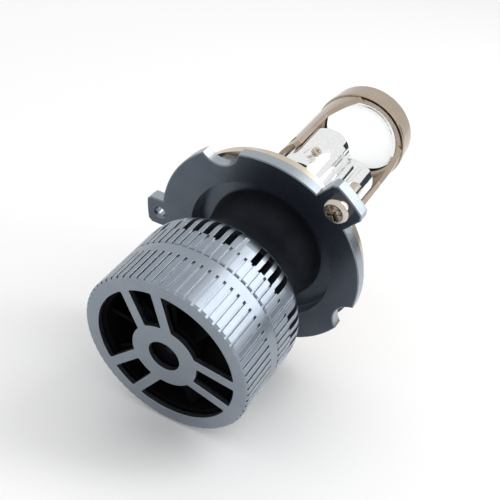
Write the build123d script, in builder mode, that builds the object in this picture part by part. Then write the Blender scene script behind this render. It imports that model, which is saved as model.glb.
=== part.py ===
"""Headlight bulb: LED bulb with a small projector lens, a three-lug collar and a fan-cooled heat sink.

Millimetres. +Y runs along the optical axis towards the lens, +Z is up, +X is to the right as seen from
behind the fan. The origin is on the axis, at the rear face of the front plate, where the collar seats.
"""
import os
from math import cos, radians, sin

from build123d import *

# stations along the axis
Y_REAR = -36.0        # flat face of the fan cap
Y_CAP_GROOVE = -28.2  # blind end of the cap's grip grooves
Y_CAP_END = -25.8
Y_BAND_END = -21.45   # grooved band of the heat sink, vents start here
Y_SHOULDER = -19.3    # the outer profile starts to curve inwards
Y_RIM = -15.35        # front rim of the heat sink
Y_PLATE = 2.0         # front face of the front plate
Y_RING = 43.8         # rear face of the lens ring
Y_RING_END = 49.7

# fan cap
R_CAP = 16.7
R_CAP_BORE = 15.0
R_GRILLE = 13.9
R_HUB = 6.55
R_HUB_HOLE = 3.17
GRILLE_T = 1.0
SPOKE_W = 1.85
NARROW_AT = 106.5     # first of the three narrow windows
GROOVES = 68
GROOVE_W = 0.5
GROOVE_D = 0.42
GROOVE_AT = 3.4

# heat sink
R_SPIGOT = 14.9
R_PLENUM = 13.4
R_CORE = 7.5
R_RIM = 14.65
SLOT_W = 1.25
SLOT_PITCH = 7.3
R_SLOT_FLOOR = 9.0
SLOTS_AT = 0.8

# neck and heat pipe
R_NECK_BASE = 14.2
R_NECK = 11.3
R_NECK_FLARE = 12.3
R_STUB = 11.8
R_NECK_BORE = 9.4
R_PIPE = 3.0

# collar
R_COLLAR = 21.5
R_WIDE_SECTOR = 22.6  # larger radius between the left lug and the upper notch
Y_COLLAR = -3.55      # rear face
COLLAR_T = 2.35
LUG_T = 2.55
R_LAND = 19.6         # raised land round the bore that meets the front plate
R_COLLAR_BORE = 15.6
LIP_T = 0.6
R_LUG = 26.4
LUG_AT = (45.7, 178.5, -87.1)
LUG_W = (8.2, 6.6, 6.6)
NOTCH_AT = (111.6, -25.2)
R_LUG_HOLE = 23.3
GAP = 0.05

# optical unit, turned so that its own top points between +X and +Z
UP = 46.5
R_PLATE = 20.2
PLATE_FLAT = 19.4
SLAB_W = 16.0
SLAB_T = 2.0
Y_SLAB_END = 27.0
LOBE_P = 4.2
LOBE_W = 5.4
LOBE_H = 7.6
WALL = 0.8
SPLIT = 1.05
Y_CUP = 30.0
R_RING = 11.0
RING_T = 1.0          # wall of the lens ring
R_ARM = 10.7          # outer face of the two arms
ARM_T = 0.95
ARM_SCREW_SEAT = 9.7  # depth from the axis of the counterbore in each arm
Y_ARM_SCREW = 25.0
R_LENS = 9.75
R_APERTURE = 9.13

# the fan
R_FRAME = 14.6
R_FRAME_BORE = 13.2
R_ROTOR = 6.3
R_BLADE = 12.8
BLADES = 9
R_SHAFT = 0.75
R_BEARING = 1.6

os.makedirs("parts", exist_ok=True)


def behind(y, up=90.0):
    """Plane across the axis at station y, seen from behind; it extrudes towards the fan end."""
    a = radians(up - 90)
    return Plane(origin=(0, y, 0), x_dir=(cos(a), 0, sin(a)), z_dir=(0, -1, 0))


def side(p=0.0):
    """Lengthwise upright plane of the optical unit: sketch x is the row's y, sketch y is the unit's up."""
    a = radians(UP)
    return Plane(origin=(sin(a) * p, 0, -cos(a) * p), x_dir=(0, 1, 0), z_dir=(sin(a), 0, -cos(a)))


def top(h=0.0):
    """Lengthwise level plane of the optical unit: sketch x is the unit's right, sketch y is the row's y."""
    a = radians(UP)
    return Plane(origin=(cos(a) * h, 0, sin(a) * h), x_dir=(sin(a), 0, -cos(a)), z_dir=(cos(a), 0, sin(a)))


def polar(r, angle):
    """Point at radius r and at an angle from +X towards +Z, in a plane made by behind()."""
    return (r * cos(radians(angle)), r * sin(radians(angle)))


def turned(x, y, angle):
    """Point (x, y) of such a plane, turned about the axis."""
    c, s = cos(radians(angle)), sin(radians(angle))
    return (x * c - y * s, x * s + y * c)


def dome_radius(half_width, height):
    """Radius of the sphere whose cap has this half width and height."""
    return (half_width**2 + height**2) / (2 * height)


def keep(name, piece):
    """Label a finished piece and write it as its own STEP file."""
    piece.part.label = name
    export_step(piece.part, f"parts/{name}.step")


# fan cap: cup with a knurled wall and a thin spoked grille across its rear end
with BuildPart() as fan_cap:
    with BuildSketch(Plane.XY):
        with BuildLine():
            Polyline(
                (0, Y_REAR),
                (R_CAP - 0.3, Y_REAR),
                (R_CAP, Y_REAR + 0.3),
                (R_CAP, Y_CAP_END - 0.25),
                (R_CAP - 0.25, Y_CAP_END),
                (R_CAP_BORE, Y_CAP_END),
                (R_CAP_BORE, Y_REAR + GRILLE_T),
                (0, Y_REAR + GRILLE_T),
                close=True,
            )
        make_face()
    revolve(axis=Axis.Y)
    with BuildSketch(behind(Y_REAR + GRILLE_T)):
        Circle(R_GRILLE)
        Circle(R_HUB, mode=Mode.SUBTRACT)
        for turn in range(3):
            for hand in (-1, 1):
                near, far = hand * 1.55, hand * 2.5
                corners = (
                    (R_HUB - 3, near),
                    (R_GRILLE + 1, far),
                    (R_GRILLE + 1, far + hand * SPOKE_W),
                    (R_HUB - 3, near + hand * SPOKE_W),
                )
                with BuildLine():
                    Polyline(*[turned(*corner, NARROW_AT + 120 * turn) for corner in corners], close=True)
                make_face(mode=Mode.SUBTRACT)
    extrude(amount=GRILLE_T, mode=Mode.SUBTRACT)
    inner = fan_cap.edges().filter_by(Axis.Y).filter_by(lambda e: (e @ 0).X ** 2 + (e @ 0).Z ** 2 < 14.2**2)
    fillet(inner.filter_by(lambda e: abs((e @ 0).Z) > 0.01), 0.35)
    with BuildSketch(behind(Y_REAR + GRILLE_T)):
        Circle(R_HUB_HOLE)
    extrude(amount=GRILLE_T, mode=Mode.SUBTRACT)
    with BuildSketch(behind(Y_CAP_GROOVE)):
        with PolarLocations(R_CAP + 0.5 - GROOVE_D, GROOVES, start_angle=GROOVE_AT):
            Rectangle(1.0, GROOVE_W)
    extrude(amount=10, mode=Mode.SUBTRACT)
keep("fan_cap", fan_cap)

# fan frame: venturi ring with three struts and the bearing tube
Y_FRAME = Y_REAR + GRILLE_T + 0.4
Y_FRAME_END = Y_CAP_END - 1.6
with BuildPart() as fan_frame:
    with BuildSketch(behind(Y_FRAME_END)):
        Circle(R_FRAME)
        Circle(R_FRAME_BORE, mode=Mode.SUBTRACT)
    extrude(amount=Y_FRAME_END - Y_FRAME)
    with BuildSketch(behind(-28.0)):
        Circle(5.2)
        with PolarLocations(0, 3, start_angle=46):
            with Locations((9.3, 0)):
                Rectangle(8.6, 1.6)
    extrude(amount=1.0)
    with BuildSketch(behind(-28.0)):
        Circle(2.3)
    extrude(amount=5.0)
    with BuildSketch(behind(-28.0)):
        Circle(R_BEARING)
    extrude(amount=5.0, mode=Mode.SUBTRACT)
    with BuildSketch(behind(Y_FRAME_END)):
        with PolarLocations(13.9, 3, start_angle=106):
            Circle(0.5)
    extrude(amount=Y_FRAME_END - Y_FRAME, mode=Mode.SUBTRACT)
    with BuildSketch(behind(Y_FRAME + 0.6)):
        with PolarLocations(13.9, 3, start_angle=106):
            Circle(0.8)
    extrude(amount=1.0, mode=Mode.SUBTRACT)
keep("fan_frame", fan_frame)

# fan screws, sunk into the frame's rear rim
with BuildPart() as fan_screws:
    with BuildSketch(behind(Y_FRAME_END + 1.5)):
        with PolarLocations(13.9, 3, start_angle=106):
            Circle(0.5)
    extrude(amount=Y_FRAME_END + 1.5 - Y_FRAME - 0.6)
    with BuildSketch(behind(Y_FRAME + 0.6)):
        with PolarLocations(13.9, 3, start_angle=106):
            Circle(0.75)
    extrude(amount=0.6)
keep("fan_screws", fan_screws)

# fan rotor: hub cup with pitched blades
Y_HUB = -34.2
Y_HUB_END = -29.7
with BuildPart() as fan_rotor:
    for blade in range(BLADES):
        a = radians(blade * 360 / BLADES + 12)
        radial = (cos(a), 0, sin(a))
        root = (5.9 * cos(a), (Y_HUB + Y_HUB_END) / 2, 5.9 * sin(a))
        with BuildSketch(Plane(origin=root, x_dir=(0, 1, 0), z_dir=radial)):
            Rectangle(4.9, 0.6, rotation=42)
        extrude(amount=8)
    with BuildSketch(behind(Y_HUB_END)):
        Circle(R_BLADE)
    extrude(amount=Y_HUB_END - Y_HUB, mode=Mode.INTERSECT)
    with BuildSketch(behind(Y_HUB_END)):
        Circle(R_ROTOR)
    extrude(amount=Y_HUB_END - Y_HUB)
    fillet(fan_rotor.edges().filter_by(GeomType.CIRCLE).sort_by(Axis.Y)[0], 0.5)
    with BuildSketch(behind(Y_HUB_END)):
        Circle(R_ROTOR - 0.6)
    extrude(amount=Y_HUB_END - Y_HUB - 0.8, mode=Mode.SUBTRACT)
    with BuildSketch(behind(Y_HUB_END)):
        Circle(R_SHAFT)
    extrude(amount=5, mode=Mode.SUBTRACT)
keep("fan_rotor", fan_rotor)

with BuildPart() as fan_magnet:
    with BuildSketch(behind(Y_HUB_END)):
        Circle(R_ROTOR - 0.6)
        Circle(R_ROTOR - 1.3, mode=Mode.SUBTRACT)
    extrude(amount=3.2)
keep("fan_magnet", fan_magnet)

with BuildPart() as fan_shaft:
    with BuildSketch(behind(-29.2)):
        Circle(R_SHAFT)
    extrude(amount=-29.2 - Y_HUB)
    chamfer(fan_shaft.edges().sort_by(Axis.Y)[-1], 0.15)
keep("fan_shaft", fan_shaft)

with BuildPart() as fan_bearing:
    with BuildSketch(behind(-29.1)):
        Circle(R_BEARING)
        Circle(R_SHAFT + 0.03, mode=Mode.SUBTRACT)
    extrude(amount=3.9)
keep("fan_bearing", fan_bearing)

# stator core: four poles on the bearing tube
with BuildPart() as fan_stator:
    with BuildSketch(behind(-30.4)):
        Circle(4.7)
        Circle(4.0, mode=Mode.SUBTRACT)
        with PolarLocations(4.4, 4, start_angle=45):
            Rectangle(2.0, 1.3, mode=Mode.SUBTRACT)
        with PolarLocations(3.1, 4):
            Rectangle(2.2, 1.2)
        Circle(2.7)
        Circle(2.3, mode=Mode.SUBTRACT)
    extrude(amount=2.0)
keep("fan_stator", fan_stator)

with BuildPart() as fan_coils:
    with BuildSketch(behind(-29.95)):
        with PolarLocations(3.35, 4):
            Rectangle(1.0, 2.5)
    extrude(amount=2.9)
    with BuildSketch(behind(-30.4)):
        with PolarLocations(3.1, 4):
            Rectangle(2.6, 1.2)
    extrude(amount=2.0, mode=Mode.SUBTRACT)
    fillet(fan_coils.edges().filter_by(Axis.Y), 0.2)
keep("fan_coils", fan_coils)

with BuildPart() as fan_board:
    with BuildSketch(behind(-29.0)):
        Circle(4.8)
        Circle(2.3, mode=Mode.SUBTRACT)
    extrude(amount=0.5)
keep("fan_board", fan_board)

# heat sink: grooved band, vents in groups of four and five, curved shoulder and front rim
with BuildPart() as heat_sink:
    with BuildSketch(Plane.XY):
        with BuildLine():
            Polyline(
                (0, Y_RIM - 0.85),
                (0, Y_CAP_END - 0.6),
                (R_CORE, Y_CAP_END - 0.6),
                (R_CORE, Y_BAND_END),
                (R_PLENUM, Y_BAND_END),
                (R_PLENUM, Y_FRAME_END),
                (R_SPIGOT, Y_FRAME_END),
                (R_SPIGOT, Y_CAP_END + 0.1),
                (R_CAP - 0.25, Y_CAP_END + 0.1),
                (R_CAP, Y_CAP_END + 0.35),
                (R_CAP, Y_SHOULDER),
            )
            ThreePointArc((R_CAP, Y_SHOULDER), (R_CAP - 0.55, Y_SHOULDER + 2.15), (R_RIM, Y_RIM))
            Polyline(
                (R_RIM, Y_RIM),
                (R_NECK_BASE + 0.05, Y_RIM),
                (R_NECK_BASE + 0.05, Y_RIM - 0.85),
                (0, Y_RIM - 0.85),
            )
        make_face()
    revolve(axis=Axis.Y)
    with BuildSketch(behind(Y_BAND_END)):
        with PolarLocations(R_CAP + 0.5 - GROOVE_D, GROOVES, start_angle=GROOVE_AT):
            Rectangle(1.0, GROOVE_W)
    extrude(amount=4.6, mode=Mode.SUBTRACT)
    for group in range(8):
        count = 5 if group % 2 == 0 else 4
        for slot in range(count):
            turn = SLOTS_AT + 45 * group + SLOT_PITCH * (slot - (count - 1) / 2)
            with BuildSketch(behind(Y_RIM - 0.55)):
                with Locations(Location((0, 0, 0), (0, 0, turn))):
                    with Locations(((R_SLOT_FLOOR + 18) / 2, 0)):
                        Rectangle(18 - R_SLOT_FLOOR, SLOT_W)
            extrude(amount=Y_RIM - 0.55 - Y_BAND_END, mode=Mode.SUBTRACT)
    with BuildSketch(behind(Y_RIM - 1.2)):
        with PolarLocations(R_CAP + 0.5 - 0.5, 8, start_angle=SLOTS_AT + 23):
            Rectangle(1.0, 0.8)
    extrude(amount=Y_RIM - 1.2 - Y_BAND_END, mode=Mode.SUBTRACT)
    with BuildSketch(behind(Y_RIM - 0.85)):
        Circle(R_PIPE)
    extrude(amount=8.2, mode=Mode.SUBTRACT)
    with BuildSketch(behind(Y_RIM - 0.85)):
        with Locations(polar(5.3, 250)):
            Circle(1.2)
    extrude(amount=12, mode=Mode.SUBTRACT)
    with BuildSketch(behind(Y_CAP_END + 3)):
        with PolarLocations(13.9, 3, start_angle=106):
            Circle(0.5)
    extrude(amount=6, mode=Mode.SUBTRACT)
    a = radians(250)
    with BuildSketch(Plane(origin=(12 * cos(a), -23.55, 12 * sin(a)), z_dir=(cos(a), 0, sin(a)))):
        Circle(1.6)
    extrude(amount=6, mode=Mode.SUBTRACT)
    with BuildSketch(Plane(origin=(16 * cos(a), -23.55, 16 * sin(a)), z_dir=(cos(a), 0, sin(a)))):
        Circle(2.05)
    extrude(amount=2, mode=Mode.SUBTRACT)
keep("heat_sink", heat_sink)

# rubber grommet for the supply lead, low on the grooved band
with BuildPart() as cable_grommet:
    a = radians(250)
    with BuildSketch(Plane(origin=(12.9 * cos(a), -23.55, 12.9 * sin(a)), z_dir=(cos(a), 0, sin(a)))):
        Circle(1.6)
    extrude(amount=3.1)
    with BuildSketch(Plane(origin=(16 * cos(a), -23.55, 16 * sin(a)), z_dir=(cos(a), 0, sin(a)))):
        Circle(2.05)
    extrude(amount=1.4)
    with BuildSketch(Plane(origin=(12 * cos(a), -23.55, 12 * sin(a)), z_dir=(cos(a), 0, sin(a)))):
        Circle(1.0)
    extrude(amount=6, mode=Mode.SUBTRACT)
keep("cable_grommet", cable_grommet)

# neck: hollow waisted barrel, flared where the collar turns on its stub
with BuildPart() as neck:
    with BuildSketch(Plane.XY):
        with BuildLine():
            Polyline(
                (R_NECK_FLARE, -GAP - LIP_T - GAP),
                (R_STUB, -GAP - LIP_T - GAP),
                (R_STUB, 0),
                (R_NECK_BORE, 0),
                (R_NECK_BORE, Y_RIM - 0.05),
                (R_PIPE + 1.0, Y_RIM - 0.05),
                (R_PIPE + 1.0, Y_RIM - 0.85),
                (R_NECK_BASE, Y_RIM - 0.85),
                (R_NECK_BASE, Y_RIM + 0.3),
            )
            Spline(
                (R_NECK_BASE, Y_RIM + 0.3),
                (12.55, -12.6),
                (R_NECK, -9.4),
                (11.55, -4.2),
                (R_NECK_FLARE, -1.1),
            )
            Line((R_NECK_FLARE, -1.1), (R_NECK_FLARE, -GAP - LIP_T - GAP))
        make_face()
    revolve(axis=Axis.Y)
    with BuildSketch(behind(0)):
        with PolarLocations(10.6, 4, start_angle=UP + 45):
            Circle(0.8)
    extrude(amount=5, mode=Mode.SUBTRACT)
    with BuildSketch(behind(Y_RIM)):
        with Locations(polar(5.3, 250)):
            Circle(1.2)
    extrude(amount=2, mode=Mode.SUBTRACT)
keep("neck", neck)

with BuildPart() as heat_pipe:
    with BuildSketch(behind(Y_PLATE)):
        Circle(R_PIPE)
    extrude(amount=Y_PLATE - Y_RIM + 9.0)
    chamfer(heat_pipe.edges().sort_by(Axis.Y)[0], 0.4)
keep("heat_pipe", heat_pipe)

# driver board inside the neck, below the heat pipe
with BuildPart() as driver_board:
    with BuildSketch(top(-4.6)):
        with Locations((0, -8.2)):
            Rectangle(13.5, 12.5)
    extrude(amount=1.0)
keep("driver_board", driver_board)

with BuildPart() as driver_parts:
    with BuildSketch(top(-4.6)):
        with Locations((-3.6, -5.0)):
            Rectangle(4.2, 4.2)
    extrude(amount=-2.2)
    with BuildSketch(top(-4.6)):
        with Locations((2.4, -4.6)):
            Rectangle(4.0, 3.4)
        with Locations((-4.2, -10.8), (-1.4, -10.8)):
            Rectangle(1.6, 2.4)
    extrude(amount=-1.1)
    with BuildSketch(top(-4.6)):
        with Locations((3.2, -11.0)):
            Circle(1.9)
    extrude(amount=-2.6)
keep("driver_parts", driver_parts)

# collar: thin disc with three thicker lugs, two half-round notches and a raised land that meets the front
# plate, turning on the neck's stub
with BuildPart() as collar:
    with BuildSketch(behind(Y_COLLAR + LUG_T)) as outline:
        for angle, width in zip(LUG_AT, LUG_W):
            with Locations(Location((0, 0, 0), (0, 0, angle))):
                with Locations((R_LUG / 2, 0)):
                    Rectangle(R_LUG, width)
        Circle(R_LUG, mode=Mode.INTERSECT)
        chamfer(outline.vertices().filter_by(lambda v: v.X**2 + v.Y**2 > 24.5**2), 0.8)
        Circle(R_COLLAR - 1, mode=Mode.SUBTRACT)
    extrude(amount=LUG_T - 0.2)
    with BuildSketch(behind(Y_COLLAR + COLLAR_T)):
        Circle(R_COLLAR)
        with BuildLine():
            CenterArc((0, 0), R_WIDE_SECTOR, NOTCH_AT[0], LUG_AT[1] - NOTCH_AT[0])
            Polyline(polar(R_WIDE_SECTOR, LUG_AT[1]), (0, 0), polar(R_WIDE_SECTOR, NOTCH_AT[0]))
        make_face()
        for angle in NOTCH_AT:
            with Locations(polar(23.5, angle)):
                Circle(4.4, mode=Mode.SUBTRACT)
    extrude(amount=COLLAR_T - 0.2)
    extrude(collar.faces().sort_by(Axis.Y)[0], amount=0.2, taper=45)
    with BuildSketch(behind(-GAP)):
        Circle(R_LAND)
        for angle in NOTCH_AT:
            with Locations(polar(23.5, angle)):
                Circle(4.8, mode=Mode.SUBTRACT)
    extrude(amount=1.6)
    with BuildSketch(behind(-GAP - LIP_T)):
        Circle(R_COLLAR_BORE)
    extrude(amount=4, mode=Mode.SUBTRACT)
    with BuildSketch(behind(-GAP)):
        Circle(R_STUB + GAP)
    extrude(amount=4, mode=Mode.SUBTRACT)
    with BuildSketch(behind(-GAP)):
        with Locations(polar(R_LUG_HOLE, LUG_AT[0])):
            Circle(1.3)
        with Locations(polar(R_LUG_HOLE, LUG_AT[1])):
            Circle(1.05)
    extrude(amount=4, mode=Mode.SUBTRACT)
    mouths = collar.edges().filter_by(GeomType.CIRCLE).filter_by(lambda e: abs(e.radius - 1.05) < 0.01)
    chamfer(mouths, 0.4)
keep("collar", collar)

# pan-head cross-recess screw in the upper lug, its end standing out of the front face
with BuildPart() as lug_screw:
    with BuildSketch(behind(3.9)):
        with Locations(polar(R_LUG_HOLE, LUG_AT[0])):
            Circle(1.25)
    extrude(amount=3.9 - Y_COLLAR)
    with BuildSketch(behind(Y_COLLAR)):
        with Locations(polar(R_LUG_HOLE, LUG_AT[0])):
            Circle(2.5)
    extrude(amount=1.9)
    fillet(lug_screw.faces().sort_by(Axis.Y)[0].edges(), 0.9)
    chamfer(lug_screw.faces().sort_by(Axis.Y)[-1].edges(), 0.3)
    with BuildSketch(behind(Y_COLLAR - 0.7)):
        with Locations(Location((*polar(R_LUG_HOLE, LUG_AT[0]), 0), (0, 0, 20))):
            Rectangle(2.9, 0.6)
            Rectangle(0.6, 2.9)
    extrude(amount=3, taper=-8, mode=Mode.SUBTRACT)
keep("lug_screw", lug_screw)

# front plate: champagne disc with a flat across its top, screwed to the neck
with BuildPart() as front_plate:
    with BuildSketch(behind(Y_PLATE, UP)):
        Circle(R_PLATE)
        with Locations((0, PLATE_FLAT + 2)):
            Rectangle(30, 4, mode=Mode.SUBTRACT)
        Circle(R_PIPE, mode=Mode.SUBTRACT)
        with PolarLocations(10.6, 4, start_angle=45):
            Circle(0.85, mode=Mode.SUBTRACT)
        with Locations((-7.5, -4.5), (7.5, -4.5)):
            Circle(1.0, mode=Mode.SUBTRACT)
    extrude(amount=Y_PLATE)
    chamfer(front_plate.faces().sort_by(Axis.Y)[-1].outer_wire().edges(), 0.3)
keep("front_plate", front_plate)

with BuildPart() as plate_screws:
    with BuildSketch(behind(Y_PLATE, UP)):
        with PolarLocations(10.6, 4, start_angle=45):
            Circle(0.8)
    extrude(amount=Y_PLATE + 4.5)
    with BuildSketch(behind(Y_PLATE + 1.1, UP)):
        with PolarLocations(10.6, 4, start_angle=45):
            Circle(1.5)
    extrude(amount=1.1)
    fillet(plate_screws.faces().sort_by(Axis.Y)[-4:].edges(), 0.45)
    with BuildSketch(behind(Y_PLATE + 1.1, UP)):
        with PolarLocations(10.6, 4, start_angle=45):
            Rectangle(1.7, 0.35)
            Rectangle(0.35, 1.7)
    extrude(amount=0.6, mode=Mode.SUBTRACT)
keep("plate_screws", plate_screws)

# copper slab that carries the two light boards, on a foot against the front plate
with BuildPart() as led_plate:
    with BuildSketch(behind(Y_SLAB_END, UP)):
        Rectangle(SLAB_W, SLAB_T)
    extrude(amount=Y_SLAB_END - Y_PLATE)
    with BuildSketch(behind(Y_PLATE + 1.6, UP)):
        RectangleRounded(12.4, 8.0, 1.0)
    extrude(amount=1.6)
    with BuildSketch(side(SLAB_W / 2)):
        with Locations((25, 0)):
            Circle(0.6)
    extrude(amount=-3, mode=Mode.SUBTRACT)
    with BuildSketch(side(-SLAB_W / 2)):
        with Locations((25, 0)):
            Circle(0.6)
    extrude(amount=3, mode=Mode.SUBTRACT)
    with BuildSketch(top(-2)):
        with Locations((-6.6, 19.5), (6.6, 19.5)):
            Circle(0.6)
    extrude(amount=4, mode=Mode.SUBTRACT)
keep("led_plate", led_plate)

for tier, sign in (("low", 1), ("high", -1)):
    with BuildPart() as board:
        with BuildSketch(top(sign * SLAB_T / 2)):
            with Locations((0, 19)):
                Rectangle(10.4, 12)
        extrude(amount=sign * 0.45)
    keep(f"led_board_{tier}", board)
    with BuildPart() as chips:
        with BuildSketch(top(sign * (SLAB_T / 2 + 0.45))):
            with Locations((-LOBE_P + 0.5, 20), (LOBE_P - 0.5, 20)):
                Rectangle(1.8, 4.2)
        extrude(amount=sign * 0.4)
        chamfer(chips.edges().filter_by(Axis.Y), 0.1)
    keep(f"led_chips_{tier}", chips)


def cup(hand, inset, y_start, y_end):
    """Egg-shaped cup that widens towards the lens, as a solid."""
    stations = (
        (0.0, 2.7, 3.9),
        (0.18, 4.1, 5.7),
        (0.45, 5.05, 7.0),
        (0.75, 5.35, 7.5),
        (1.0, LOBE_W, LOBE_H),
    )
    with BuildPart() as solid_cup:
        for along, half_w, half_h in stations:
            with BuildSketch(behind(y_start + along * (y_end - y_start), UP)):
                with Locations((hand * LOBE_P, 0)):
                    Ellipse(half_w - inset, half_h - inset)
        loft()
    return solid_cup.part


cups = [cup(hand, 0, 8.0, Y_CUP) for hand in (-1, 1)]
hollows = [cup(hand, WALL, 8.0 + WALL, Y_CUP + 0.01) for hand in (-1, 1)]

# upper reflector: thin chromed cups joined by a ribbed spine, with screw pillars and a window in each cup
with BuildPart() as reflector_upper:
    add(cups)
    for rib in range(4):
        with BuildSketch(top(1.6)):
            with Locations((-2.85 + 1.9 * rib, 19.3)):
                Rectangle(1.35 if rib == 0 else 0.75, 17.4)
        extrude(amount=5.9)
    add(hollows, mode=Mode.SUBTRACT)
    with BuildSketch(behind(28.5, UP)):
        with Locations((0, 3.4)):
            Rectangle(1.2, 3.6)
    extrude(amount=19)
    with BuildSketch(top(SPLIT)):
        with Locations((-9.05, 21), (9.05, 21)):
            Rectangle(0.7, 18)
    extrude(amount=1.2)
    with BuildSketch(top(SLAB_T / 2)):
        with Locations((-6.6, 19.5), (6.6, 19.5)):
            Circle(1.25)
    extrude(amount=6.6)
    with BuildSketch(top(0)):
        with Locations((-6.6, 19.5), (6.6, 19.5)):
            Circle(0.6)
    extrude(amount=9, mode=Mode.SUBTRACT)
    with BuildSketch(top(3.2)):
        with Locations((-7.0, 13.9), (7.0, 13.9)):
            RectangleRounded(3.4, 4.6, 0.4)
    extrude(amount=6, mode=Mode.SUBTRACT)
    with BuildSketch(top(SPLIT)):
        with Locations((0, 18)):
            Rectangle(40, 40)
    extrude(amount=-20, mode=Mode.SUBTRACT)
    with BuildSketch(top(SPLIT)):
        with Locations((0, 19)):
            Rectangle(10.9, 12.6)
    extrude(amount=0.5, mode=Mode.SUBTRACT)
keep("reflector_upper", reflector_upper)

with BuildPart() as reflector_lower:
    mirror(reflector_upper.part, about=top(0), mode=Mode.ADD)
keep("reflector_lower", reflector_lower)

# small pan heads on the four screw pillars
with BuildPart() as reflector_screws:
    for sign in (1, -1):
        with BuildSketch(top(sign * SLAB_T / 2)):
            with Locations((-6.6, 19.5), (6.6, 19.5)):
                Circle(0.6)
        extrude(amount=sign * 6.6)
        with BuildSketch(top(sign * (SLAB_T / 2 + 6.6))):
            with Locations((-6.6, 19.5), (6.6, 19.5)):
                Circle(1.0)
        extrude(amount=sign * 0.7)
        with BuildSketch(top(sign * (SLAB_T / 2 + 7.3))):
            with Locations((-6.6, 19.5), (6.6, 19.5)):
                Rectangle(1.2, 0.25)
                Rectangle(0.25, 1.2)
        extrude(amount=-sign * 0.35, mode=Mode.SUBTRACT)
keep("reflector_screws", reflector_screws)

# cut-off shield: thin blade with a stepped front edge
with BuildPart() as cutoff_shield:
    with BuildSketch(top(-0.25)):
        with BuildLine():
            Polyline(
                (-8, Y_SLAB_END),
                (8, Y_SLAB_END),
                (8, 31.2),
                (1.2, 31.2),
                (0, 32.2),
                (-8, 32.2),
                close=True,
            )
        make_face()
    extrude(amount=0.5)
keep("cutoff_shield", cutoff_shield)

# lens holder: ring on two arms that flare into it
with BuildPart() as lens_holder:
    with BuildSketch(side(0)):
        with BuildLine():
            Polyline(
                (21.5, -2.6),
                (21.5, 2.6),
                (23.0, 3.2),
                (35.5, 3.2),
                (Y_RING + 0.5, 7.6),
                (Y_RING + 0.5, -7.6),
                (35.5, -3.2),
                (23.0, -3.2),
                close=True,
            )
        make_face()
    extrude(amount=14, both=True)
    with BuildSketch(behind(Y_RING + 0.5)):
        Circle(R_ARM)
        Circle(R_ARM - ARM_T, mode=Mode.SUBTRACT)
    extrude(amount=30, mode=Mode.INTERSECT)
    with BuildSketch(behind(28, UP)):
        with Locations((-9.0, 0), (9.0, 0)):
            Rectangle(2.0, 1.9)
    extrude(amount=6)
    with BuildSketch(Plane.XY):
        with BuildLine():
            Polyline(
                (R_RING - 0.7, Y_RING),
                (R_RING - 0.12, Y_RING),
                (R_RING, Y_RING + 0.12),
                (R_RING, Y_RING + 0.6),
                (R_RING - 0.5, Y_RING_END - 0.25),
                (R_RING - 0.7, Y_RING_END),
                (R_RING - RING_T, Y_RING_END),
                (R_RING - RING_T, Y_RING + 0.9),
                (R_APERTURE, Y_RING + 0.9),
                (R_APERTURE, Y_RING + 0.35),
                close=True,
            )
        make_face()
    revolve(axis=Axis.Y)
    with BuildSketch(side(-12)):
        with Locations((Y_ARM_SCREW, 0)):
            Circle(0.62)
    extrude(amount=24, mode=Mode.SUBTRACT)
    for hand in (-1, 1):
        with BuildSketch(side(hand * ARM_SCREW_SEAT)):
            with Locations((Y_ARM_SCREW, 0)):
                Circle(1.1)
        extrude(amount=hand * 2, mode=Mode.SUBTRACT)
keep("lens_holder", lens_holder)

with BuildPart() as holder_screws:
    for hand in (-1, 1):
        with BuildSketch(side(hand * (SLAB_W / 2 - 2.6))):
            with Locations((Y_ARM_SCREW, 0)):
                Circle(0.6)
        extrude(amount=hand * (ARM_SCREW_SEAT + 2.6 - SLAB_W / 2))
        with BuildSketch(side(hand * ARM_SCREW_SEAT)):
            with Locations((Y_ARM_SCREW, 0)):
                Circle(1.0)
        extrude(amount=hand * 0.75)
        with BuildSketch(side(hand * (ARM_SCREW_SEAT + 0.75))):
            with Locations((Y_ARM_SCREW, 0)):
                Rectangle(1.2, 0.3)
                Rectangle(0.3, 1.2)
        extrude(amount=-hand * 0.4, mode=Mode.SUBTRACT)
keep("holder_screws", holder_screws)

# lens: thick glass, nearly flat behind and domed in front
with BuildPart() as lens:
    with BuildSketch(Plane.XY):
        with BuildLine():
            RadiusArc((0, 43.7), (R_APERTURE - 0.05, 44.7), -dome_radius(R_APERTURE - 0.05, 1.0))
            Polyline((R_APERTURE - 0.05, 44.7), (R_LENS, 44.7), (R_LENS, 46.6), (9.2, 46.6))
            RadiusArc((9.2, 46.6), (0, 51.4), -dome_radius(9.2, 4.8))
            Line((0, 51.4), (0, 43.7))
        make_face()
    revolve(axis=Axis.Y)
keep("lens", lens)

with BuildPart() as lens_gasket:
    with BuildSketch(behind(47.4)):
        Circle(R_RING - RING_T - 0.02)
        Circle(9.25, mode=Mode.SUBTRACT)
    extrude(amount=0.8)
keep("lens_gasket", lens_gasket)
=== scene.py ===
"""Looks of the headlight bulb: finishes, edge rounding, stage, lights and camera.

Metres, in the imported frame: +Y along the optical axis towards the lens, +Z up.
"""

from math import cos, radians, sin

import bpy
from mathutils import Matrix, Vector

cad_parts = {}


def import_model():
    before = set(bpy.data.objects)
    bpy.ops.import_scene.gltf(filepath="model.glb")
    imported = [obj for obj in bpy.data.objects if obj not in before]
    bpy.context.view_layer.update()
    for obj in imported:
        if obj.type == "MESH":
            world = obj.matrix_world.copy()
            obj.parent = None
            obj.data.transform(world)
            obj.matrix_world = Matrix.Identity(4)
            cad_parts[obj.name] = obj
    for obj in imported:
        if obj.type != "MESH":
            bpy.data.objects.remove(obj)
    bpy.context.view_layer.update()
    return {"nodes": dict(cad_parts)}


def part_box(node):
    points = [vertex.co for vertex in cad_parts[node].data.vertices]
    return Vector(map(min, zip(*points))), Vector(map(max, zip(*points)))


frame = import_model()
NODES = frame["nodes"]

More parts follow.
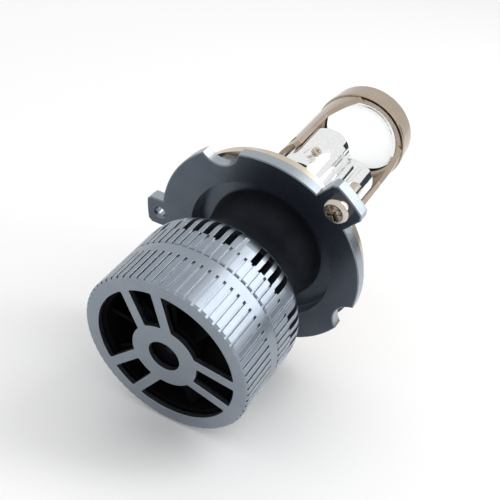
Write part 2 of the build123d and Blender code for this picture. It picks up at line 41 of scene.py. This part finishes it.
MM = 0.001
CAMERA_AT = Vector((63.92, -116.81, 108.60)) * MM
CAMERA_AZIMUTH = 30.12
CAMERA_ELEVATION = 39.79
CAMERA_LENS = 62.27
FLOOR_TILT = 16.0
FLOOR_SIZE = 6.0
FLOOR_GAP = 0.1 * MM
UPRIGHT = (0, 0, 1)

NOISE_ROUGHNESS = 0.55
ANODISED_GRAIN = 0.006
# sockets of a Mix node set to colours
MIX_SHARE, MIX_A, MIX_B, MIX_RESULT = 0, 6, 7, 2


# ---------------------------------------------------------------- finishes

class Finish:
    """One procedural material: a Principled shader and short calls for the nodes that feed it."""

    def __init__(self, name, **constants):
        self.material = bpy.data.materials.new(name)
        self.material.use_nodes = True
        self.tree = self.material.node_tree
        self.shader = self.tree.nodes["Principled BSDF"]
        for socket, value in constants.items():
            self.shader.inputs[socket.replace("_", " ")].default_value = value
        self.place = self.node("ShaderNodeTexCoord").outputs["Object"]

    def node(self, kind, settings=None, **inputs):
        made = self.tree.nodes.new(kind)
        for key, value in (settings or {}).items():
            setattr(made, key, value)
        for socket, value in inputs.items():
            self.feed(made.inputs[socket.replace("_", " ")], value)
        return made

    def feed(self, socket, value):
        if isinstance(value, bpy.types.NodeSocket):
            self.tree.links.new(value, socket)
        else:
            socket.default_value = value

    def set(self, socket, value):
        self.feed(self.shader.inputs[socket], value)

    def math(self, operation, a, b=0.0, clamp=False):
        made = self.node("ShaderNodeMath", {"operation": operation, "use_clamp": clamp})
        self.feed(made.inputs[0], a)
        self.feed(made.inputs[1], b)
        return made.outputs[0]

    def noise(self, size, detail=3.0, stretch=(1, 1, 1)):
        """Noise whose features are about that many millimetres wide, longer along a stretched axis."""
        turned = self.node("ShaderNodeMapping", Vector=self.place, Scale=[1 / s for s in stretch])
        made = self.node("ShaderNodeTexNoise", Vector=turned.outputs[0], Scale=1 / (size * MM))
        made.inputs["Detail"].default_value = detail
        made.inputs["Roughness"].default_value = NOISE_ROUGHNESS
        return made.outputs["Fac"]

    def spread(self, value, low, high):
        """Value from 0..1, stretched about its middle, to low..high."""
        limits = {"From_Min": 0.3, "From_Max": 0.7, "To_Min": low, "To_Max": high}
        return self.node("ShaderNodeMapRange", Value=value, **limits).outputs[0]

    def ramp(self, value, *stops):
        made = self.node("ShaderNodeValToRGB", Fac=value)
        elements = made.color_ramp.elements
        while len(elements) < len(stops):
            elements.new(0.5)
        for element, (at, colour) in zip(elements, stops):
            element.position = at
            element.color = (*colour, 1)
        return made.outputs["Color"]

    def mix(self, share, a, b):
        made = self.node("ShaderNodeMix", {"data_type": "RGBA"})
        self.feed(made.inputs[MIX_SHARE], share)
        self.feed(made.inputs[MIX_A], (*a, 1) if isinstance(a, tuple) else a)
        self.feed(made.inputs[MIX_B], (*b, 1) if isinstance(b, tuple) else b)
        return made.outputs[MIX_RESULT]

    def radius(self):
        """Distance from the optical axis, in metres."""
        flat = self.node("ShaderNodeVectorMath", {"operation": "MULTIPLY"})
        self.feed(flat.inputs[0], self.place)
        flat.inputs[1].default_value = (1, 0, 1)
        length = self.node("ShaderNodeVectorMath", {"operation": "LENGTH"})
        self.feed(length.inputs[0], flat.outputs[0])
        return length.outputs["Value"]

    def sideways(self):
        """1 on walls that face away from the optical axis or towards it, 0 on faces across it."""
        face = self.node("ShaderNodeTexCoord").outputs["Normal"]
        across = self.node("ShaderNodeSeparateXYZ", Vector=face).outputs["Y"]
        return self.math("SUBTRACT", 1.0, self.math("ABSOLUTE", across), clamp=True)

    def rounded(self, radius):
        """Normals of edges rounded to that radius in millimetres."""
        return self.node("ShaderNodeBevel", {"samples": 6}, Radius=radius * MM).outputs[0]

    def edge(self, radius):
        """1 on outer and inner edges within that radius in millimetres, 0 away from them."""
        face = self.node("ShaderNodeNewGeometry").outputs["Normal"]
        dot = self.node("ShaderNodeVectorMath", {"operation": "DOT_PRODUCT"})
        self.feed(dot.inputs[0], face)
        self.feed(dot.inputs[1], self.rounded(radius))
        return self.math("MULTIPLY", self.math("SUBTRACT", 1.0, dot.outputs["Value"]), 4.0, clamp=True)

    def bump(self, height, distance, strength=1.0, normal=None):
        """Bump of that many millimetres from a 0..1 height."""
        made = self.node("ShaderNodeBump", Height=height, Distance=distance * MM, Strength=strength)
        if normal is not None:
            self.feed(made.inputs["Normal"], normal)
        return made.outputs[0]


def anodised(name, deep, light, abraded_edge_and_highlight_tone, rough=0.34, walls=None):
    """Bead-blasted, anodised aluminium, faintly cloudy, lighter on its edges by abrasion and a painted edge
    highlight, and on walls, if a wall tone is given, by a painted highlight.
    """
    f = Finish(name, Metallic=1.0)
    cloud = f.noise(9, 2)
    speck = f.noise(0.22, 4)
    blend = f.math("ADD", f.math("MULTIPLY", cloud, 0.5), f.math("MULTIPLY", speck, 0.5))
    tone = f.ramp(blend, (0.36, deep), (0.64, light))
    # painted highlight: walls facing away from or towards the axis take the lighter walls tone, standing in
    # for the bright reflection along the rim
    if walls is not None:
        tone = f.mix(f.sideways(), tone, walls)
    # lighter edges: partly edge abrasion, partly a painted edge highlight standing in for the bright lines
    # along the rims
    edge_abrasion_and_highlight = f.math("MULTIPLY", f.edge(0.12), f.spread(f.noise(1.4, 4), 0.25, 0.9), clamp=True)
    f.set("Base Color", f.mix(edge_abrasion_and_highlight, tone, abraded_edge_and_highlight_tone))
    polish = f.math("MULTIPLY", edge_abrasion_and_highlight, -0.08)
    f.set("Roughness", f.math("ADD", f.spread(speck, rough - 0.05, rough + 0.07), polish))
    f.set("Normal", f.bump(speck, ANODISED_GRAIN, 0.6, f.rounded(0.1)))
    return f.material


def turned_black(name):
    """Blue-black anodised barrel with fine turning lines round the axis."""
    f = Finish(name, Metallic=0.85)
    lines = f.noise(0.16, 2, stretch=(60, 1, 60))
    cloud = f.noise(6, 2)
    f.set("Base Color", f.ramp(cloud, (0.3, (0.044, 0.050, 0.064)), (0.7, (0.066, 0.074, 0.092))))
    f.set("Roughness", f.spread(lines, 0.30, 0.38))
    f.set("Normal", f.bump(lines, 0.003, 0.5, f.rounded(0.1)))
    return f.material


def plated(name, tint, shade, rough=0.14, wave=0.01):
    """Plated metal: bright, with faint polishing marks and a slightly uneven skin."""
    f = Finish(name, Metallic=1.0)
    skin = f.noise(3.0, 2)
    marks = f.noise(0.35, 4, stretch=(1, 8, 1))
    f.set("Base Color", f.ramp(f.noise(5, 3), (0.35, shade), (0.65, tint)))
    f.set("Roughness", f.spread(marks, rough - 0.04, rough + 0.05))
    f.set("Normal", f.bump(skin, wave, 0.6, f.rounded(0.08)))
    return f.material


def mirror(name):
    """Vacuum-metallised mirror over a moulded shape, not quite flat."""
    f = Finish(name, Metallic=1.0)
    skin = f.noise(2.2, 2)
    f.set("Base Color", f.ramp(f.noise(0.8, 3), (0.3, (0.84, 0.85, 0.86)), (0.7, (0.93, 0.93, 0.93))))
    f.set("Roughness", f.spread(f.noise(0.5, 4), 0.03, 0.07))
    f.set("Normal", f.bump(skin, 0.02, 0.5, f.rounded(0.12)))
    return f.material


def moulded(name, tone, rough=0.45, grain=0.01, shine=0.4):
    """Moulded plastic with a fine eroded grain."""
    f = Finish(name, Specular_IOR_Level=shine)
    speck = f.noise(0.18, 3)
    dark = tuple(c * 0.75 for c in tone)
    f.set("Base Color", f.ramp(f.noise(2.5, 3), (0.3, dark), (0.7, tone)))
    f.set("Roughness", f.spread(speck, rough - 0.06, rough + 0.08))
    f.set("Normal", f.bump(speck, grain, 0.5, f.rounded(0.08)))
    return f.material


def metal(name, tint, shade, rough=0.3):
    """Bare metal with drawn marks."""
    f = Finish(name, Metallic=1.0)
    marks = f.noise(0.3, 4, stretch=(1, 5, 1))
    f.set("Base Color", f.ramp(f.noise(1.5, 4), (0.3, shade), (0.7, tint)))
    f.set("Roughness", f.spread(marks, rough - 0.06, rough + 0.08))
    f.set("Normal", f.bump(marks, 0.004, 0.5, f.rounded(0.06)))
    return f.material


def champagne(name):
    """Champagne anodised plate, turned face."""
    f = Finish(name, Metallic=1.0)
    rings = f.node("ShaderNodeTexNoise", {"noise_dimensions": "1D"}, W=f.math("MULTIPLY", f.radius(), 9000.0))
    f.set("Base Color", f.ramp(f.noise(4, 3), (0.3, (0.60, 0.52, 0.42)), (0.7, (0.72, 0.64, 0.53))))
    f.set("Roughness", f.spread(rings.outputs["Fac"], 0.24, 0.36))
    f.set("Normal", f.bump(rings.outputs["Fac"], 0.004, 0.5, f.rounded(0.1)))
    return f.material


def circuit_board(name, mask, trace):
    """Solder mask with copper runs showing through it."""
    f = Finish(name, Coat_Weight=0.3)
    runs = f.node("ShaderNodeTexBrick", Vector=f.place, Scale=450.0, Mortar_Size=0.05)
    f.feed(runs.inputs["Color1"], (*mask, 1))
    f.feed(runs.inputs["Color2"], (*[c * 0.8 for c in mask], 1))
    f.feed(runs.inputs["Mortar"], (*trace, 1))
    f.set("Base Color", runs.outputs["Color"])
    f.set("Roughness", f.spread(f.noise(0.4, 3), 0.35, 0.5))
    f.set("Normal", f.bump(runs.outputs["Fac"], 0.02, 0.5))
    return f.material


def phosphor(name):
    """Grainy yellow phosphor over the LED dies."""
    f = Finish(name)
    speck = f.noise(0.12, 3)
    f.set("Base Color", f.ramp(speck, (0.35, (0.78, 0.62, 0.07)), (0.65, (0.95, 0.82, 0.18))))
    f.set("Roughness", f.spread(speck, 0.35, 0.5))
    f.set("Normal", f.bump(speck, 0.01, 0.4))
    return f.material


def glass(name):
    """Clear lens with a faint skin and a slightly frosted flange.

    Its index is below that of real glass, so that no dark ring shows round its edge.
    """
    f = Finish(name, IOR=1.22, Transmission_Weight=1.0)
    f.set("Base Color", f.ramp(f.noise(6, 2), (0.3, (0.96, 0.985, 0.98)), (0.7, (0.99, 1.0, 1.0))))
    frost = f.math("GREATER_THAN", f.radius(), 9.3 * MM)
    f.set("Roughness", f.math("ADD", f.spread(f.noise(1.2, 3), 0.0, 0.02), f.math("MULTIPLY", frost, 0.25)))
    f.set("Normal", f.bump(f.noise(2.5, 2), 0.004, 0.3))
    return f.material


# its third tone lightens the edges: edge abrasion and a painted edge highlight
GREY = anodised("anodised_grey", (0.25, 0.285, 0.33), (0.31, 0.345, 0.39), (0.66, 0.72, 0.80))
BLACK = turned_black("anodised_black")
PLASTIC = moulded("fan_plastic", (0.004, 0.004, 0.005), 0.7, shine=0.04)
COLLAR = anodised(
    "anodised_collar",
    deep=(0.085, 0.100, 0.125),
    light=(0.12, 0.138, 0.165),
    # edge tone: edge abrasion and a painted edge highlight
    abraded_edge_and_highlight_tone=(0.66, 0.72, 0.78),
    rough=0.30,
    # painted highlight on the collar's side walls, standing in for the bright rim reflection
    walls=(0.36, 0.40, 0.44),
)
BLACK_STEEL = metal("black_steel", (0.022, 0.022, 0.024), (0.012, 0.012, 0.013), 0.45)
PARTS = moulded("component_black", (0.02, 0.02, 0.022))
RUBBER = moulded("rubber", (0.015, 0.015, 0.016), 0.6, 0.015)
NICKEL = plated("nickel", (0.62, 0.56, 0.49), (0.46, 0.40, 0.33), 0.12)
HOLDER = plated("champagne_nickel", (0.46, 0.385, 0.31), (0.40, 0.33, 0.26), 0.16, 0.014)
CHAMPAGNE = champagne("champagne")
CHROME = mirror("mirror_chrome")
BRONZE = metal("bronze", (0.55, 0.36, 0.18), (0.42, 0.26, 0.12))
IRON = metal("stator_iron", (0.38, 0.38, 0.40), (0.26, 0.26, 0.28))
MAGNET = metal("magnet", (0.10, 0.10, 0.11), (0.06, 0.06, 0.07), 0.5)
COPPER = metal("copper", (0.80, 0.42, 0.28), (0.62, 0.30, 0.19), 0.28)
SHIELD = moulded("shield_black", (0.02, 0.02, 0.02), 0.55)
GREEN = circuit_board("board_green", (0.02, 0.11, 0.05), (0.05, 0.22, 0.10))
WHITE = circuit_board("board_white", (0.78, 0.78, 0.76), (0.66, 0.64, 0.58))
LED = phosphor("phosphor")
GLASS = glass("lens_glass")
SILICONE = moulded("silicone", (0.80, 0.81, 0.81), 0.5)

FINISHES = {
    "fan_cap": GREY, "heat_sink": GREY, "collar": COLLAR, "neck": BLACK,
    "fan_frame": PLASTIC, "fan_rotor": PLASTIC, "fan_screws": BLACK_STEEL, "fan_magnet": MAGNET,
    "fan_shaft": BLACK_STEEL, "fan_bearing": BRONZE, "fan_stator": IRON, "fan_coils": COPPER,
    "fan_board": GREEN,
    "cable_grommet": RUBBER, "heat_pipe": COPPER, "driver_board": GREEN, "driver_parts": PARTS,
    "lug_screw": NICKEL, "front_plate": CHAMPAGNE, "plate_screws": NICKEL, "led_plate": COPPER,
    "led_board_low": WHITE, "led_chips_low": LED, "led_board_high": WHITE, "led_chips_high": LED,
    "reflector_upper": CHROME, "reflector_lower": CHROME, "reflector_screws": NICKEL,
    "cutoff_shield": SHIELD, "lens_holder": HOLDER, "holder_screws": NICKEL,
    "lens": GLASS, "lens_gasket": SILICONE,
}
for node, finish in FINISHES.items():
    for spot in NODES[node].material_slots:
        spot.material = finish


# ---------------------------------------------------------------- stage, lights, camera

def facing(direction, up):
    """Rotation whose -Z points along direction and whose Y is nearest to up."""
    ahead = direction.normalized()
    right = ahead.cross(up).normalized()
    return Matrix((right, right.cross(ahead), -ahead)).transposed().to_quaternion()


def sheet(name, width, height):
    """Flat rectangle about its own origin."""
    x, y = width / 2, height / 2
    mesh = bpy.data.meshes.new(name)
    mesh.from_pydata([(-x, -y, 0), (x, -y, 0), (x, y, 0), (-x, y, 0)], [], [(0, 1, 2, 3)])
    made = bpy.data.objects.new(name, mesh)
    bpy.context.scene.collection.objects.link(made)
    return made


def floor():
    """White floor, tilted to pass just under the cap's low rim. It can't be seen from below."""
    low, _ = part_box("fan_cap")
    plane = sheet("floor", FLOOR_SIZE, FLOOR_SIZE)
    plane.location = Vector((0, low[1], low[2])) - Vector((0, 0, FLOOR_GAP))
    plane.rotation_euler = (radians(-FLOOR_TILT), 0, 0)
    paper = bpy.data.materials.new("floor_paper")
    paper.use_nodes = True
    nodes, links = paper.node_tree.nodes, paper.node_tree.links
    shader = nodes["Principled BSDF"]
    shader.inputs["Base Color"].default_value = (0.92, 0.92, 0.92, 1)
    shader.inputs["Roughness"].default_value = 0.5
    clear = nodes.new("ShaderNodeBsdfTransparent")
    side = nodes.new("ShaderNodeNewGeometry")
    join = nodes.new("ShaderNodeMixShader")
    links.new(side.outputs["Backfacing"], join.inputs[0])
    links.new(shader.outputs[0], join.inputs[1])
    links.new(clear.outputs[0], join.inputs[2])
    links.new(join.outputs[0], nodes["Material Output"].inputs["Surface"])
    plane.data.materials.append(paper)


def softbox(name, direction, distance, size, strength, upright=UPRIGHT):
    """Area light of that many watts, seen from the origin in that direction, tall along upright."""
    data = bpy.data.lights.new(name, "AREA")
    data.shape = "RECTANGLE"
    data.size, data.size_y = size
    data.energy = strength
    lamp = bpy.data.objects.new(name, data)
    bpy.context.scene.collection.objects.link(lamp)
    away = Vector(direction).normalized()
    lamp.location = away * distance
    lamp.rotation_mode = "QUATERNION"
    lamp.rotation_quaternion = facing(-away, Vector(upright))


def card(name, direction, distance, size):
    """Black card beside the set: the camera doesn't see it, the bright metal mirrors it."""
    made = sheet(name, *size)
    away = Vector(direction).normalized()
    made.location = away * distance
    made.rotation_mode = "QUATERNION"
    made.rotation_quaternion = facing(-away, Vector(UPRIGHT))
    made.visible_camera = False
    made.visible_shadow = False
    made.visible_diffuse = False
    felt = bpy.data.materials.new(name + "_felt")
    felt.use_nodes = True
    shader = felt.node_tree.nodes["Principled BSDF"]
    shader.inputs["Base Color"].default_value = (0.03, 0.035, 0.05, 1)
    shader.inputs["Roughness"].default_value = 0.9
    made.data.materials.append(felt)


def world(strength):
    """Even white surroundings."""
    sky = bpy.data.worlds.new("studio")
    sky.use_nodes = True
    background = sky.node_tree.nodes["Background"]
    background.inputs["Color"].default_value = (1, 1, 1, 1)
    background.inputs["Strength"].default_value = strength
    bpy.context.scene.world = sky


def camera():
    """Camera behind, above and to the right of the fan, looking towards the lens."""
    data = bpy.data.cameras.new("camera")
    data.lens = CAMERA_LENS
    data.sensor_width = 36
    data.clip_start, data.clip_end = 0.005, 20
    eye = bpy.data.objects.new("camera", data)
    bpy.context.scene.collection.objects.link(eye)
    a, e = radians(CAMERA_AZIMUTH), radians(CAMERA_ELEVATION)
    ahead = Vector((-sin(a) * cos(e), cos(a) * cos(e), -sin(e)))
    eye.location = CAMERA_AT
    eye.rotation_mode = "QUATERNION"
    eye.rotation_quaternion = facing(ahead, Vector(UPRIGHT))
    bpy.context.scene.camera = eye


camera()
floor()
world(0.92)
# the key is a strip whose reflection runs down the cap's side, the card lies just below its lower end
softbox("key", (0.61, 0.60, 0.52), distance=0.6, size=(0.17, 0.62), strength=1.5, upright=(0.63, 0, -0.79))
card("dark_card", (0.74, 0.62, -0.12), distance=0.3, size=(0.20, 0.13))
bpy.context.scene.view_settings.view_transform = "Standard"
